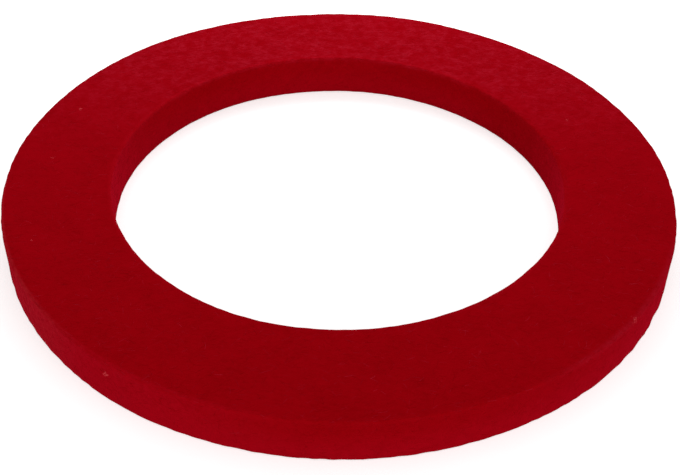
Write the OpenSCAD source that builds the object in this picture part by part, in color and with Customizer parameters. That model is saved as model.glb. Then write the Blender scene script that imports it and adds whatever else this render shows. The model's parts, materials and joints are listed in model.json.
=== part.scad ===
// Felt seal: one flat ring, die-cut from a sheet of pressed wool felt.
// It lies on its lower face, with the centre of that face at the origin and its axis along +Z.

/* [Ring] */
// Diameter of the bore that wipes the shaft
bore_d = 60; // [20:1:80]
// Diameter of the rim that seats in the housing
outer_d = 88; // [84:1:140]
// Thickness of the felt sheet
sheet_t = 6; // [2:0.5:12]

/* [Cut edges] */
// Radius of the upper corners, rolled over where the knife went in
roll_r = 0.3; // [0.1:0.05:0.9]
// Radius of the lower corners, crisp where the knife came out
exit_r = 0.15; // [0.1:0.05:0.9]

/* [Hidden] */
$fn = 128;
bore_r = bore_d / 2;
outer_r = outer_d / 2;
felt_colour = [0.54, 0.01, 0.05];

// Strip of the section between two heights, drawn in from both cut walls by inset
module strip(inset, bottom, top) {
    translate([bore_r + inset, bottom])
        square([outer_r - bore_r - 2 * inset, top - bottom]);
}

// The two round corners of one face: one beside the bore and one beside the rim
module corner_pair(corner_r, height) {
    for (radius = [bore_r + corner_r, outer_r - corner_r])
        translate([radius, height])
            circle(corner_r);
}

// Half section of the ring: straight cut walls, flat faces and a round at each corner
module cut_section() {
    strip(0, exit_r, sheet_t - roll_r);
    strip(roll_r, sheet_t / 2, sheet_t);
    strip(exit_r, 0, sheet_t / 2);
    corner_pair(roll_r, sheet_t - roll_r);
    corner_pair(exit_r, exit_r);
}

module felt_ring() {
    color(felt_colour)
        rotate_extrude()
            cut_section();
}

felt_ring();
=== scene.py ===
import json
import math
import random

import bmesh
import bpy
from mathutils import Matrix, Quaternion, Vector, noise
from mathutils.bvhtree import BVHTree


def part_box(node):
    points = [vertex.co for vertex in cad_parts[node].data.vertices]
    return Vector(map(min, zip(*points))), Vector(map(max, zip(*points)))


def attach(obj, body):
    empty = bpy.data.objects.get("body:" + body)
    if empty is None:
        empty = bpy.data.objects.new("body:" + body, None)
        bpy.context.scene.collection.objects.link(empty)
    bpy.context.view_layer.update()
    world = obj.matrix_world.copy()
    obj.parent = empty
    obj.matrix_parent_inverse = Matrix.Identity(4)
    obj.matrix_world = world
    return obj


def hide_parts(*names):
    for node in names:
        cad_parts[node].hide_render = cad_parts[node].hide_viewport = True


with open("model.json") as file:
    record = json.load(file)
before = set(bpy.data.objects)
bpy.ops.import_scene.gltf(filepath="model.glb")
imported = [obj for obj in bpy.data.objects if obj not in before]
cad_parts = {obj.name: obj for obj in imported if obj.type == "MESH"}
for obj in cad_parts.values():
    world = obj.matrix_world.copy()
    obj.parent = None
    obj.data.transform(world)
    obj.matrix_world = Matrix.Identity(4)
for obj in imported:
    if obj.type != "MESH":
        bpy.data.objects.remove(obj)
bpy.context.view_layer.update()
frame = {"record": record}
mm = 0.001
imageWidth, imageHeight = 680, 475  # the photograph's frame, in pixels

# sizes of the ring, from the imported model
ringLow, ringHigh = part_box("felt_ring")
mountSizes = {mount["name"]: mount["dims"] for mount in frame["record"]["mounts"]}
boreRadius = mountSizes["shaft_bore"]["r_mm"] * mm
rimRadius = mountSizes["rim"]["r_mm"] * mm
sheetThick = ringHigh.z - ringLow.z
print("frame loaded: bore", boreRadius, "rim", rimRadius, "sheet", sheetThick)


# shader maths: one output socket, on which sums and products add Math nodes
class Wire:
    def __init__(self, tree, socket=None):
        self.tree = tree
        self.socket = socket

    def node(self, kind, settings, inputs, output=0):
        made = self.tree.nodes.new(kind)
        for key, value in settings.items():
            if key == "stops":
                setStops(made.color_ramp, value)
            else:
                setattr(made, key, value)
        for key, value in inputs.items():
            if isinstance(value, Wire):
                self.tree.links.new(value.socket, made.inputs[key])
            else:
                made.inputs[key].default_value = value
        return Wire(self.tree, made.outputs[output] if made.outputs else None)

    def maths(self, operation, first, second):
        return self.node("ShaderNodeMath", {"operation": operation}, {0: first, 1: second})

    def vector(self, operation, first, second, output=0):
        return self.node("ShaderNodeVectorMath", {"operation": operation}, {0: first, 1: second}, output)

    def __add__(self, other):
        return self.maths("ADD", self, other)

    def __radd__(self, other):
        return self.maths("ADD", other, self)

    def __sub__(self, other):
        return self.maths("SUBTRACT", self, other)

    def __rsub__(self, other):
        return self.maths("SUBTRACT", other, self)

    def __mul__(self, other):
        return self.maths("MULTIPLY", self, other)

    def __rmul__(self, other):
        return self.maths("MULTIPLY", other, self)

    def __abs__(self):
        return self.maths("ABSOLUTE", self, 0)

    def atMost(self, other):
        return self.maths("MINIMUM", self, other)

    def atLeast(self, other):
        return self.maths("MAXIMUM", self, other)

    def ramped(self, low, high):  # 0 below low, 1 above high, smooth between
        return self.node(
            "ShaderNodeMapRange",
            {"interpolation_type": "SMOOTHSTEP"},
            {"Value": self, "From Min": low, "From Max": high},
        )

    def tinted(self, dark, light):  # a colour between two, by this value
        return self.node("ShaderNodeMix", {"data_type": "RGBA"}, {0: self, 6: dark, 7: light}, 2)

    def cloud(self, size, detail):  # soft noise over these coordinates
        return self.node("ShaderNodeTexNoise", {}, {"Vector": self, "Scale": 1 / size, "Detail": detail})


def setStops(ramp, stops):
    while len(ramp.elements) < len(stops):
        ramp.elements.new(1)
    for element, (place, colour) in zip(ramp.elements, stops):
        element.position = place
        element.color = colour


def newMaterial(name):
    made = bpy.data.materials.new(name)
    made.use_nodes = True
    made.node_tree.nodes.clear()
    return made, Wire(made.node_tree)


def paint(red, green, blue):
    return (red, green, blue, 1)


# felt colours, linear, and how dull the wool is
feltPaint = {
    "shade": paint(0.222, 0.0001, 0.0013),
    "body": paint(0.266, 0.0001, 0.0021),
    "fibre": paint(0.296, 0.0004, 0.0032),
    # arris: raised fibre along the upper edges, partly a painted highlight
    "arris": paint(0.380, 0.0030, 0.0090),
    # pale: painted sheen on the far upper face, and a painted highlight on a stretch of the rim's arris
    "pale": paint(0.340, 0.0090, 0.0220),
    "footShade": paint(0.276, 0.0004, 0.0036),
    "foot": paint(0.322, 0.0009, 0.0054),
    # the next three colours are painted light, painted sheen and painted shade for stretches of the cut
    # walls
    "warm": paint(0.326, 0.0010, 0.0055),
    "paintedLight": paint(0.335, 0.0105, 0.0155),
    "deep": paint(0.230, 0.0001, 0.0012),
    "sheen": paint(1, 0.016, 0.060),
    "sheenWeight": 0.3,
    "sheenRoughness": 0.45,
    "roughness": (0.92, 0.08),  # of the felt: the least, and what the clumps add
    "fibreRoughness": 0.9,
}

# pattern sizes and depths of the felt, in mm, and the turns of its fibres round Z, in degrees
feltGrain = {
    "strand": {"length": 2.4, "width": 0.34, "line": 0.045, "turns": (-14, 9, 33, 160)},
    "hair": {"length": 1.0, "width": 0.11, "line": 0.07, "turns": (-37, 4, 48, 145)},
    "webNoise": {"Scale": 1, "Detail": 1, "Roughness": 0.4, "Distortion": 0.35},
    "webShift": (7.3, 3.1, 1.7),  # from one turn's noise to the next
    "webLevel": 0.5,  # the lines run where the noise has this value
    "blotch": {"size": 5.0, "detail": 3},
    "clump": {"size": 1.3, "detail": 2},
    "clumpRange": (0.3, 0.7),  # the values of a cloud that go from dark to pale
    "toneShares": (0.5, 0.5),  # of blotch and clump in the ground colour
    "tintShares": (0.45, 0.25),  # of strand and hair in the fibre colour
    "bumpShares": (0.4, 0.35, 0.4),  # of strand, hair and clump in the bumps
    "bumpDepth": 0.05,
    "bumpStrength": 0.25,
    "paintedSheen": (2, 32),  # from here to here along Y the upper face and its nap get painted sheen, paler towards the far side
    "paintedSheenWeight": 0.6,
    "faceDepth": (0.1, 0.6),  # down from the upper face, where its colour ends
    "wallDepth": (0.2, 0.6),  # in from a cut wall, where its colour ends
    "footReach": (1.0, 5.5),  # down the cut walls, from the upper face
    "footClump": 0.5,
    "arrisReach": 0.7,
    "arrisClump": (0, 0.7),
    "rimFuzzAndHighlight": 0.1,  # how much of the arris colour each upper edge takes
    "boreFuzzAndHighlight": 0.35,
    "paintedLightPatch": {"size": 0.6, "detail": 3},
    "paintedLightRange": (0.1, 0.8),
    # stretches of the cut walls and the rim's arris with painted light and painted shade, and how much
    # paler their nap is
    "paintedLightStretches": (
        # painted light on the rim's front-left wall
        {"wall": "rim", "colour": "warm", "turn": -125, "spread": 30, "weight": 1.0, "nap": 0.0},
        # painted sheen on the rim's left end, with paler nap
        {"wall": "rim", "colour": "paintedLight", "turn": -158, "spread": 30, "weight": 0.75, "nap": 0.6},
        # painted highlight along the rim's right arris
        {"wall": "arris", "colour": "pale", "turn": -38, "spread": 24, "weight": 0.4, "nap": 0.0},
        # painted shade on the bore's right wall
        {"wall": "bore", "colour": "deep", "turn": 14, "spread": 40, "weight": 1.0, "nap": 0.0},
        # painted light on the bore's far wall
        {"wall": "bore", "colour": "foot", "turn": 95, "spread": 36, "weight": 0.35, "nap": 0.0},
    ),
}


def finishWool(start, inputs):
    # a dull surface with the soft glow of wool
    wool = {
        "Specular IOR Level": 0.0,
        "Sheen Weight": feltPaint["sheenWeight"],
        "Sheen Roughness": feltPaint["sheenRoughness"],
        "Sheen Tint": feltPaint["sheen"],
    }
    shader = start.node("ShaderNodeBsdfPrincipled", {}, {**inputs, **wool})
    start.node("ShaderNodeOutputMaterial", {}, {"Surface": shader})


def strandWeb(place, form):
    # hair lines that run every way in the sheet: level lines of a noise drawn out along each turn
    web = None
    for count, turn in enumerate(form["turns"]):
        drawn = place.node(
            "ShaderNodeMapping",
            {"vector_type": "TEXTURE"},
            {
                "Vector": place,
                "Location": [shift * count for shift in feltGrain["webShift"]],
                "Rotation": (0, 0, math.radians(turn)),
                "Scale": (form["length"], form["width"], form["width"]),
            },
        )
        cloud = place.node("ShaderNodeTexNoise", {}, {"Vector": drawn, **feltGrain["webNoise"]})
        strand = 1 - abs(cloud - feltGrain["webLevel"]).ramped(0, form["line"])
        web = strand if web is None else web.atLeast(strand)
    return web


def feltMaterial():
    made, start = newMaterial("pressedFelt")
    grain = feltGrain
    metres = start.node("ShaderNodeTexCoord", {}, {}, "Object")
    place = start.node("ShaderNodeVectorMath", {"operation": "SCALE"}, {0: metres, "Scale": 1 / mm})
    web = strandWeb(place, grain["strand"])
    hair = strandWeb(place, grain["hair"])
    blotch = place.cloud(**grain["blotch"])
    clump = place.cloud(**grain["clump"])
    clumped = clump.ramped(*grain["clumpRange"])
    blotchShare, clumpShare = grain["toneShares"]
    tone = (blotchShare * blotch + clumpShare * clump).ramped(*grain["clumpRange"])
    ground = tone.tinted(feltPaint["shade"], feltPaint["body"])
    strandTint, hairTint = grain["tintShares"]
    strands = strandTint * web + hairTint * hair
    combed = strands.tinted(ground, feltPaint["fibre"])

    # where the point lies in the ring's section
    flat = place.vector("MULTIPLY", place, (1, 1, 0))
    radius = place.vector("LENGTH", flat, (0, 0, 0), "Value")
    height = place.node("ShaderNodeSeparateXYZ", {}, {0: place}, "Z")
    inFromRim = rimRadius / mm - radius
    inFromBore = radius - boreRadius / mm
    downFromTop = sheetThick / mm - height

    # painted sheen: the far part of the upper face is painted paler along its fibre streaks
    paintedSheen = place.node("ShaderNodeSeparateXYZ", {}, {0: place}, "Y").ramped(*grain["paintedSheen"])
    paintedSheen = paintedSheen * (1 - downFromTop.ramped(*grain["faceDepth"]))
    combed = (grain["paintedSheenWeight"] * paintedSheen * web * clumped).tinted(combed, feltPaint["pale"])

    # the cut walls are paler towards the lower face
    inFromCut = inFromRim.atMost(inFromBore)
    foot = downFromTop.ramped(*grain["footReach"]) * (1 - inFromCut.ramped(*grain["wallDepth"]))
    footed = (grain["footClump"] * clumped + strands).tinted(feltPaint["footShade"], feltPaint["foot"])
    combed = foot.tinted(combed, footed)

    # raised fibre on the two upper arrises, painted paler partly as a painted highlight
    rimFuzzAndHighlight = 1 - inFromRim.atLeast(downFromTop).ramped(0, grain["arrisReach"])
    boreFuzzAndHighlight = 1 - inFromBore.atLeast(downFromTop).ramped(0, grain["arrisReach"])
    fuzzAndHighlight = grain["rimFuzzAndHighlight"] * rimFuzzAndHighlight + grain["boreFuzzAndHighlight"] * boreFuzzAndHighlight
    colour = (fuzzAndHighlight * clump.ramped(*grain["arrisClump"])).tinted(combed, feltPaint["arris"])

    # painted light and painted shade on stretches of the cut walls and the rim's arris
    spoke = place.vector("NORMALIZE", flat, (0, 0, 0))
    patchy = place.cloud(**grain["paintedLightPatch"]).ramped(*grain["paintedLightRange"])
    paintedLightWalls = {
        "rim": patchy * (1 - inFromRim.ramped(*grain["wallDepth"])),
        "bore": patchy * (1 - inFromBore.ramped(*grain["wallDepth"])),
        "arris": patchy * rimFuzzAndHighlight,
    }
    for paintedStretch in grain["paintedLightStretches"]:
        turn, spread = math.radians(paintedStretch["turn"]), math.radians(paintedStretch["spread"])
        middle = Vector((math.cos(turn), math.sin(turn), 0))
        facing = place.vector("DOT_PRODUCT", spoke, middle, "Value")
        paintedLight = paintedStretch["weight"] * paintedLightWalls[paintedStretch["wall"]] * facing.ramped(math.cos(spread), 1)
        colour = paintedLight.tinted(colour, feltPaint[paintedStretch["colour"]])

    strandBump, hairBump, clumpBump = grain["bumpShares"]
    bump = start.node(
        "ShaderNodeBump",
        {},
        {
            "Strength": grain["bumpStrength"],
            "Distance": grain["bumpDepth"] * mm,
            "Height": strandBump * web + hairBump * hair + clumpBump * clump,
        },
    )
    least, added = feltPaint["roughness"]
    finishWool(start, {"Base Color": colour, "Roughness": least + added * clump, "Normal": bump})
    return made


def fibreMaterial(name, stops):
    made, start = newMaterial(name)
    layout = start.node("ShaderNodeUVMap", {"uv_map": "OFBake"}, {})
    across = start.node("ShaderNodeSeparateXYZ", {}, {"Vector": layout}, "X")
    colour = start.node("ShaderNodeValToRGB", {"stops": stops}, {"Fac": across})
    finishWool(start, {"Base Color": colour, "Roughness": feltPaint["fibreRoughness"]})
    return made


# the ring's own felt: a section rounded at its corners and spun round the bore
ringForm = {
    "rollRadius": 0.3 * mm,  # upper corners
    "exitRadius": 0.15 * mm,  # lower corners
    "rollSegments": 4,
    "exitSegments": 3,
    "grid": 0.37 * mm,  # spacing of the rows across each face
    "longSide": 2 * mm,  # only the sides of the section that are longer get rows
    "sectors": 8,  # the spin is made in equal parts
    "sectorSteps": 90,
    "mergeDistance": 0.001 * mm,
    "seed": 4.0,
    "lumpDepth": 0.02 * mm,
    "lumpSize": 1.6 * mm,
    "waveDepth": 0.05 * mm,
    "waveSize": 11 * mm,
    "cutSeed": 300.03,
    "nickSize": 2.2 * mm,  # small corners that the knife left along the edges
    "nickReach": 1.6 * mm,
    "nickLevel": 0.5,  # they stand out by this, less the steepness times a noise
    "nickSteep": 2,
    # the two cut lines: how far they wander, and their middles, which are a little out of line
    "rim": {
        "depth": 0.28 * mm,
        "size": 27 * mm,
        "nick": 0.10 * mm,
        "proud": 0.03 * mm,
        "middle": Vector((0.06, -0.015, 0)) * mm,
    },
    "bore": {
        "depth": 0.17 * mm,
        "size": 18 * mm,
        "nick": 0.05 * mm,
        "proud": -0.10 * mm,
        "middle": Vector((-0.125, -0.166, 0)) * mm,
    },
    "napGap": 0.045 * mm,  # the nap below holds the felt this far off the floor
    "layoutRows": 3,  # the texture has this many strips each way
    "layoutMargin": 0.01,
}


def measureSection(bm, along):
    # how far round the section each of its points lies, from the middle of the lower side
    middle = (boreRadius + rimRadius) / 2
    first = min(bm.verts, key=lambda vert: vert.co.z + abs(vert.co.x - middle))
    vert, edge, girth = first, first.link_edges[0], 0
    while True:
        vert[along] = girth
        girth += edge.calc_length()
        vert = edge.other_vert(vert)
        if vert == first:
            return girth
        edge = next(other for other in vert.link_edges if other != edge)


def inOrder(bm):
    # the spin leaves its faces in a new order each run, so the same faces are made again in one order
    bm.verts.index_update()
    rounds = []
    for face in bm.faces:
        verts = list(face.verts)
        first = verts.index(min(verts, key=lambda vert: vert.index))
        rounds.append(verts[first:] + verts[:first])
    rounds.sort(key=lambda verts: [vert.index for vert in verts])
    bmesh.ops.delete(bm, geom=bm.edges[:] + bm.faces[:], context="EDGES_FACES")
    for verts in rounds:
        bm.faces.new(verts)


def layOut(bm, along, girth, form):
    # texture layout: equal strips of the ring, in rows
    layout = bm.loops.layers.uv.new("OFBake")
    rows, margin = form["layoutRows"], form["layoutMargin"]
    sweep = 2 * math.pi / rows**2
    for face in bm.faces:
        centre = face.calc_center_median()
        strip = int(math.atan2(centre.y, centre.x) % (2 * math.pi) / sweep)
        farthest = max(vert[along] for vert in face.verts)
        for loop in face.loops:
            place = loop.vert[along]
            if farthest - place > girth / 2:
                place += girth
            lead = math.atan2(loop.vert.co.y, loop.vert.co.x) - (strip + 0.5) * sweep
            lead = (lead + math.pi) % (2 * math.pi) - math.pi
            across = margin + (1 - 2 * margin) * place / girth
            up = margin + (1 - 2 * margin) * (lead / sweep + 0.5)
            loop[layout].uv = ((strip % rows + across) / rows, (strip // rows + up) / rows)


def seedShift(seed):
    return Vector((1, 2, 3)) * seed


def cutWander(spoke, height, radius, line, form):
    # how far the knife strayed from this cut line, as a move in the sheet
    offset = seedShift(form["cutSeed"])
    slow = noise.noise(spoke * radius / line["size"] + offset)
    ridge = abs(noise.noise(spoke * radius / form["nickSize"] - offset))
    corner = form["nickLevel"] - form["nickSteep"] * ridge
    ragged = max(1 - min(height, sheetThick - height) / form["nickReach"], 0)
    stray = line["proud"] + line["depth"] * slow + line["nick"] * ragged * corner
    return spoke * stray + line["middle"]


def unevenFelt(bm, form):
    # lumps and waves of the pressed sheet, and cut walls that wander
    offset = seedShift(form["seed"])
    for vert in bm.verts:
        radius = math.hypot(vert.co.x, vert.co.y)
        spoke = Vector((vert.co.x, vert.co.y, 0)) / radius
        outward = (radius - boreRadius) / (rimRadius - boreRadius)  # 0 at the bore, 1 at the rim
        lump = noise.noise(vert.co / form["lumpSize"] + offset)
        wave = noise.noise(vert.co / form["waveSize"] - offset)
        boreCut = cutWander(spoke, vert.co.z, boreRadius, form["bore"], form)
        rimCut = cutWander(spoke, vert.co.z, rimRadius, form["rim"], form)
        cut = boreCut.lerp(rimCut, outward)
        vert.co += cut + vert.normal * (form["lumpDepth"] * lump + form["waveDepth"] * wave)
        vert.co.z = abs(vert.co.z) + form["napGap"]


def makeFeltBody():
    form = ringForm
    bm = bmesh.new()
    inner, outer = boreRadius, rimRadius
    corners = [(inner, 0), (outer, 0), (outer, sheetThick), (inner, sheetThick)]
    bm.faces.new([bm.verts.new((radius, 0, height)) for radius, height in corners])
    sharp = bm.verts[:]
    for atTop, radius, segments in (
        (True, form["rollRadius"], form["rollSegments"]),
        (False, form["exitRadius"], form["exitSegments"]),
    ):
        picked = [vert for vert in sharp if vert.is_valid and (vert.co.z > 0) == atTop]
        bmesh.ops.bevel(
            bm,
            geom=picked,
            affect="VERTICES",
            offset=radius,
            segments=segments,
            profile=0.5,
            material=-1,
        )
    bmesh.ops.delete(bm, geom=bm.faces[:], context="FACES_ONLY")
    for edge in [edge for edge in bm.edges if edge.calc_length() > form["longSide"]]:
        cuts = round(edge.calc_length() / form["grid"]) - 1
        bmesh.ops.subdivide_edges(bm, edges=[edge], cuts=cuts)
    along = bm.verts.layers.float.new("along")
    girth = measureSection(bm, along)

    sweep = 2 * math.pi / form["sectors"]
    spun = {"cent": (0, 0, 0), "axis": (0, 0, 1), "dvec": (0, 0, 0)}
    bmesh.ops.spin(
        bm, geom=bm.verts[:] + bm.edges[:], angle=sweep, steps=form["sectorSteps"], **spun
    )
    sector = bm.verts[:] + bm.edges[:] + bm.faces[:]
    rest = form["sectors"] - 1
    bmesh.ops.spin(bm, geom=sector, angle=rest * sweep, steps=rest, use_duplicate=True, **spun)
    bmesh.ops.remove_doubles(bm, verts=bm.verts[:], dist=form["mergeDistance"])
    bmesh.ops.recalc_face_normals(bm, faces=bm.faces[:])
    inOrder(bm)
    bm.normal_update()
    layOut(bm, along, girth, form)
    bm.verts.layers.float.remove(along)
    unevenFelt(bm, form)

    mesh = bpy.data.meshes.new("felt_body")
    bm.to_mesh(mesh)
    surface = BVHTree.FromBMesh(bm)
    bm.free()
    for polygon in mesh.polygons:
        polygon.use_smooth = True
    body = bpy.data.objects.new("felt_body", mesh)
    bpy.context.scene.collection.objects.link(body)
    mesh.materials.append(feltMaterial())
    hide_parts("felt_ring")
    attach(body, "root")
    return body, surface


# wool fibres of the nap and the lint, which lie on the felt and dip into it at both ends
fibreForm = {
    "points": 4,
    "root": 0.03,  # mm below the felt at the ends
    "spread": 0.6,  # of the headings about X, radians
    "steep": 0.8,  # where the felt faces X by more than this, the headings are about Y
    "thickness": (0.7, 1.2),  # times the radius
    "shadeBias": (2, 2),  # most shades are near the middle of their range
    "mapStart": 0.01,  # across the texture, each fibre lies at its shade
    "mapSpan": 0.96,
    "mapWidth": 0.02,
    "mapRows": (0.1, 0.8),
}

# short fibres of the nap
napForm = {
    "length": (0.9, 2.4),  # mm
    "radius": 0.016 * mm,
    "arch": (-0.010, 0.004),  # mm above the felt at the middle
    "bend": 0.5,  # most turn at each step, radians
    "stops": [
        (0.0, paint(0.205, 0.0001, 0.0015)),
        (0.2, paint(0.232, 0.0002, 0.0020)),
        (1.0, paint(0.440, 0.0200, 0.0400)),
    ],
    "sides": {  # how many fibres, and how pale they are at least
        "upper": (7000, 0.15),
        "lower": (5000, 0.15),
        "rim": (4200, 0.20),
        "bore": (3000, 0.15),
        # the arris nap is paler: raised fibre, partly a painted highlight
        "arris": (2400, 0.35),
    },
    "upperSlope": 0.95,  # a face's side is told by how far its normal points up
    "arrisSlope": 0.25,
    "lowerSlope": -0.5,
    "placeSeed": 100,
}


def strandOver(surface, spot, normal, dice, form):
    # walks over the felt from the spot, and gives the middle line of one fibre
    heading = Vector((0, 1, 0)) if abs(normal.x) > fibreForm["steep"] else Vector((1, 0, 0))
    heading.rotate(Quaternion(normal, dice.gauss(0, fibreForm["spread"])))
    steps = fibreForm["points"] - 1
    stride = dice.uniform(*form["length"]) * mm / steps
    arch = dice.uniform(*form["arch"]) + fibreForm["root"]
    bend = dice.uniform(-form["bend"], form["bend"])
    spot = spot - heading * stride * dice.random()
    points = []
    for step in range(fibreForm["points"]):
        spot, normal, face, gap = surface.find_nearest(spot)
        heading = (heading - normal * heading.dot(normal)).normalized()
        heading.rotate(Quaternion(normal, bend))
        rise = math.sin(math.pi * step / steps)
        points.append(spot + normal * (arch * rise - fibreForm["root"]) * mm)
        spot = spot + heading * stride
    return points


def makeFibres(name, surface, starts, form, material, seed):
    dice = random.Random(seed)
    curve = bpy.data.curves.new(name, "CURVE")
    curve.dimensions = "3D"
    curve.bevel_depth = form["radius"]
    curve.bevel_resolution = 0
    curve.use_fill_caps = True
    for spot, normal, palest in starts:
        points = strandOver(surface, spot, normal, dice, form)
        spline = curve.splines.new("POLY")
        spline.points.add(len(points) - 1)
        spline.points.foreach_set("co", [c for point in points for c in (*point, 1)])
        thick = dice.uniform(*fibreForm["thickness"])
        spline.points.foreach_set("radius", [thick] * len(points))
    holder = bpy.data.objects.new(name + "_curve", curve)
    bpy.context.scene.collection.objects.link(holder)
    depsgraph = bpy.context.evaluated_depsgraph_get()
    mesh = bpy.data.meshes.new_from_object(holder.evaluated_get(depsgraph))
    bpy.data.objects.remove(holder)
    mesh.name = name
    bias = fibreForm["shadeBias"]
    shadeFibres(mesh, [palest * dice.betavariate(*bias) for spot, normal, palest in starts])
    mesh.materials.clear()
    mesh.materials.append(material)
    fibres = bpy.data.objects.new(name, mesh)
    bpy.context.scene.collection.objects.link(fibres)
    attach(fibres, "root")
    print(name, len(starts), "fibres,", len(mesh.polygons), "faces")


def shadeFibres(mesh, shades):
    # each fibre has its own place on the map, by its shade
    while mesh.uv_layers:
        mesh.uv_layers.remove(mesh.uv_layers[0])
    layout = mesh.uv_layers.new(name="OFBake")
    perFibre = len(mesh.polygons) // len(shades)
    low, height = fibreForm["mapRows"]
    for polygon in mesh.polygons:
        shade = fibreForm["mapStart"] + fibreForm["mapSpan"] * shades[polygon.index // perFibre]
        for corner, loop in enumerate(polygon.loop_indices):
            across = shade + fibreForm["mapWidth"] * (corner % 2)
            layout.data[loop].uv = (across, low + height * (corner // 2))


def paintedSheenNap(side, spot):
    # how much paler the nap is painted where a cut wall carries painted sheen
    turn = math.degrees(math.atan2(spot.y, spot.x))
    paler = 0
    for paintedStretch in feltGrain["paintedLightStretches"]:
        if paintedStretch["wall"] == side:
            paler = max(paler, paintedStretch["nap"] * (1 - abs(turn - paintedStretch["turn"]) / paintedStretch["spread"]))
    return paler


def makeNap(body, surface):
    facesOf = {side: [] for side in napForm["sides"]}
    for polygon in body.data.polygons:
        centre, normal = polygon.center, polygon.normal
        if normal.z > napForm["upperSlope"]:
            facesOf["upper"].append(polygon)
        elif normal.z > napForm["arrisSlope"]:
            facesOf["arris"].append(polygon)
        elif normal.z < napForm["lowerSlope"]:
            facesOf["lower"].append(polygon)
        elif math.hypot(centre.x, centre.y) > (boreRadius + rimRadius) / 2:
            facesOf["rim"].append(polygon)
        else:
            facesOf["bore"].append(polygon)
    wool = fibreMaterial("woolNap", napForm["stops"])
    low, high = feltGrain["paintedSheen"]
    for seed, (side, (count, least)) in enumerate(napForm["sides"].items()):
        areas = [face.area for face in facesOf[side]]
        starts = []
        dice = random.Random(napForm["placeSeed"] + seed)
        for face in dice.choices(facesOf[side], areas, k=count):
            # painted sheen: nap on the upper face is painted paler towards the far side
            paintedSheen = min(max((face.center.y / mm - low) / (high - low), 0), 1) * max(face.normal.z, 0)
            # on the cut walls the nap is painted paler only where painted sheen is
            if side in ("rim", "bore"):
                paintedSheen = paintedSheenNap(side, face.center)
            starts.append((face.center, face.normal, least + (1 - least) * paintedSheen))
        makeFibres("nap_" + side, surface, starts, napForm, wool, seed)


body, surface = makeFeltBody()
print("felt body", len(body.data.polygons), "faces")
makeNap(body, surface)


# the photograph's view, in mm and degrees
view = {
    "place": (0, -123.1, 95.4),
    "target": (0.3, -6.4, 0),
    "roll": 1.29,
    "focalPixels": 1137.3,
    "sensor": 36.0,
    "nearest": 5,
}


def makeCamera():
    data = bpy.data.cameras.new("camera")
    data.sensor_width = view["sensor"]
    data.lens = view["focalPixels"] / imageWidth * view["sensor"]
    data.clip_start = view["nearest"] * mm
    camera = bpy.data.objects.new("camera", data)
    place, target = Vector(view["place"]) * mm, Vector(view["target"]) * mm
    turn = (target - place).to_track_quat("-Z", "Y")
    turn = turn @ Quaternion((0, 0, 1), math.radians(view["roll"]))
    camera.location = place
    camera.rotation_euler = turn.to_euler()
    bpy.context.scene.collection.objects.link(camera)
    bpy.context.scene.camera = camera
    return camera


# pale lint that clings to the felt, at the pixels where the photograph shows it
lintForm = {
    "spots": {  # pixel, number of fibres, width of the tuft in mm, and paleness
        "farLeft": ((80, 109), 8, 0.20, 0.60),
        "left": ((52, 158), 4, 0.30, 0.06),
        "leftEdge": ((31, 240), 5, 0.07, 0.55),
        "nearLeftWall": ((105, 374), 36, 0.36, 1.00),
        "farRight": ((448, 58), 5, 0.05, 0.70),
        "right": ((567, 120), 8, 0.20, 0.20),
        "rightArris": ((635, 320), 40, 0.48, 0.50),
    },
    "length": (0.12, 0.4),  # mm
    "radius": 0.024 * mm,
    "arch": (0.0, 0.03),  # mm
    "bend": 0.9,  # radians
    "stops": [
        (0.0, paint(0.34, 0.001, 0.007)),
        (1.0, paint(0.90, 0.100, 0.120)),
    ],
    "seed": 21,
}


def seenSpot(camera, surface, pixel):
    # the point of the felt that a pixel of the photograph shows
    across = (pixel[0] - imageWidth / 2) / view["focalPixels"]
    up = (imageHeight / 2 - pixel[1]) / view["focalPixels"]
    ray = camera.rotation_euler.to_quaternion() @ Vector((across, up, -1))
    spot, normal, face, gap = surface.ray_cast(camera.location, ray)
    return spot, normal


def makeLint(camera, surface):
    form = lintForm
    pale = fibreMaterial("paleLint", form["stops"])
    dice = random.Random(form["seed"])
    starts = []
    for pixel, count, width, paleness in form["spots"].values():
        spot, normal = seenSpot(camera, surface, pixel)
        for fibre in range(count):
            stray = Vector([dice.gauss(0, width / 2) for axis in range(3)]) * mm
            starts.append((spot + stray, normal, paleness))
    makeFibres("lint", surface, starts, form, pale, form["seed"])


camera = makeCamera()
makeLint(camera, surface)

# the floor and the light all round
stageForm = {
    "floorRadius": 3.0,
    "floorSides": 64,
    "floorDrop": 0.01 * mm,
    "floorColour": paint(0.85, 0.85, 0.85),
    "floorGlow": 0.48,  # added where the camera sees the floor, so that only the shadow isn't white
    "worldStrength": 0.62,
    "backdrop": 1.0,  # white that the camera sees past the floor
}


def seenDirectly(start):
    # 1 for what the camera sees, also through gloss and glass
    path = start.node("ShaderNodeLightPath", {}, {}, "Is Camera Ray")
    rays = path.socket.node.outputs
    seen = path.atLeast(Wire(start.tree, rays["Is Glossy Ray"]))
    return seen.atLeast(Wire(start.tree, rays["Is Transmission Ray"]))


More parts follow.
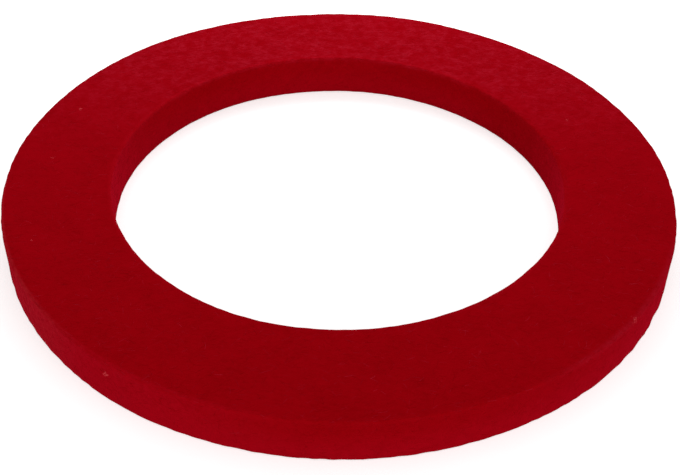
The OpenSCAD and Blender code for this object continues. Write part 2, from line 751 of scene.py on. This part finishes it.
def makeFloor():
    bm = bmesh.new()
    radius, sides = stageForm["floorRadius"], stageForm["floorSides"]
    bmesh.ops.create_circle(bm, cap_ends=True, radius=radius, segments=sides)
    bmesh.ops.translate(bm, vec=(0, 0, -stageForm["floorDrop"]), verts=bm.verts[:])
    mesh = bpy.data.meshes.new("floor")
    bm.to_mesh(mesh)
    bm.free()
    floor = bpy.data.objects.new("floor", mesh)
    bpy.context.scene.collection.objects.link(floor)
    made, start = newMaterial("paleFloor")
    plain = start.node("ShaderNodeBsdfDiffuse", {}, {"Color": stageForm["floorColour"]})
    glow = start.node("ShaderNodeEmission", {}, {"Strength": stageForm["floorGlow"]})
    shown = start.node("ShaderNodeAddShader", {}, {0: glow, 1: plain})
    shader = start.node("ShaderNodeMixShader", {}, {0: seenDirectly(start), 1: plain, 2: shown})
    start.node("ShaderNodeOutputMaterial", {}, {"Surface": shader})
    mesh.materials.append(made)


def makeWorld():
    world = bpy.data.worlds.new("studio")
    bpy.context.scene.world = world
    world.use_nodes = True
    world.node_tree.nodes.clear()
    start = Wire(world.node_tree)
    lit, shown = [
        start.node("ShaderNodeBackground", {}, {"Color": paint(1, 1, 1), "Strength": strength})
        for strength in (stageForm["worldStrength"], stageForm["backdrop"])
    ]
    shader = start.node("ShaderNodeMixShader", {}, {0: seenDirectly(start), 1: lit, 2: shown})
    start.node("ShaderNodeOutputWorld", {}, {"Surface": shader})


# soft lamps, in metres and watts, each turned to the ring
lamps = {
    "rear": {"place": (0, 0.09, 0.07), "size": 0.08, "power": 0.063},
    "front": {"place": (0, -0.40, 0.12), "size": 0.40, "power": 0.70},
    "frontRight": {"place": (0.30, -0.30, 0.20), "size": 0.30, "power": 0.21},
}


def makeLamps():
    for name, lamp in lamps.items():
        data = bpy.data.lights.new(name, "AREA")
        data.size = lamp["size"]
        data.energy = lamp["power"]
        holder = bpy.data.objects.new(name, data)
        holder.location = lamp["place"]
        holder.visible_camera = False
        holder.rotation_euler = (-Vector(lamp["place"])).to_track_quat("-Z", "Y").to_euler()
        bpy.context.scene.collection.objects.link(holder)


makeFloor()
makeWorld()
makeLamps()
bpy.context.scene.view_settings.view_transform = "Standard"
print("stage set")
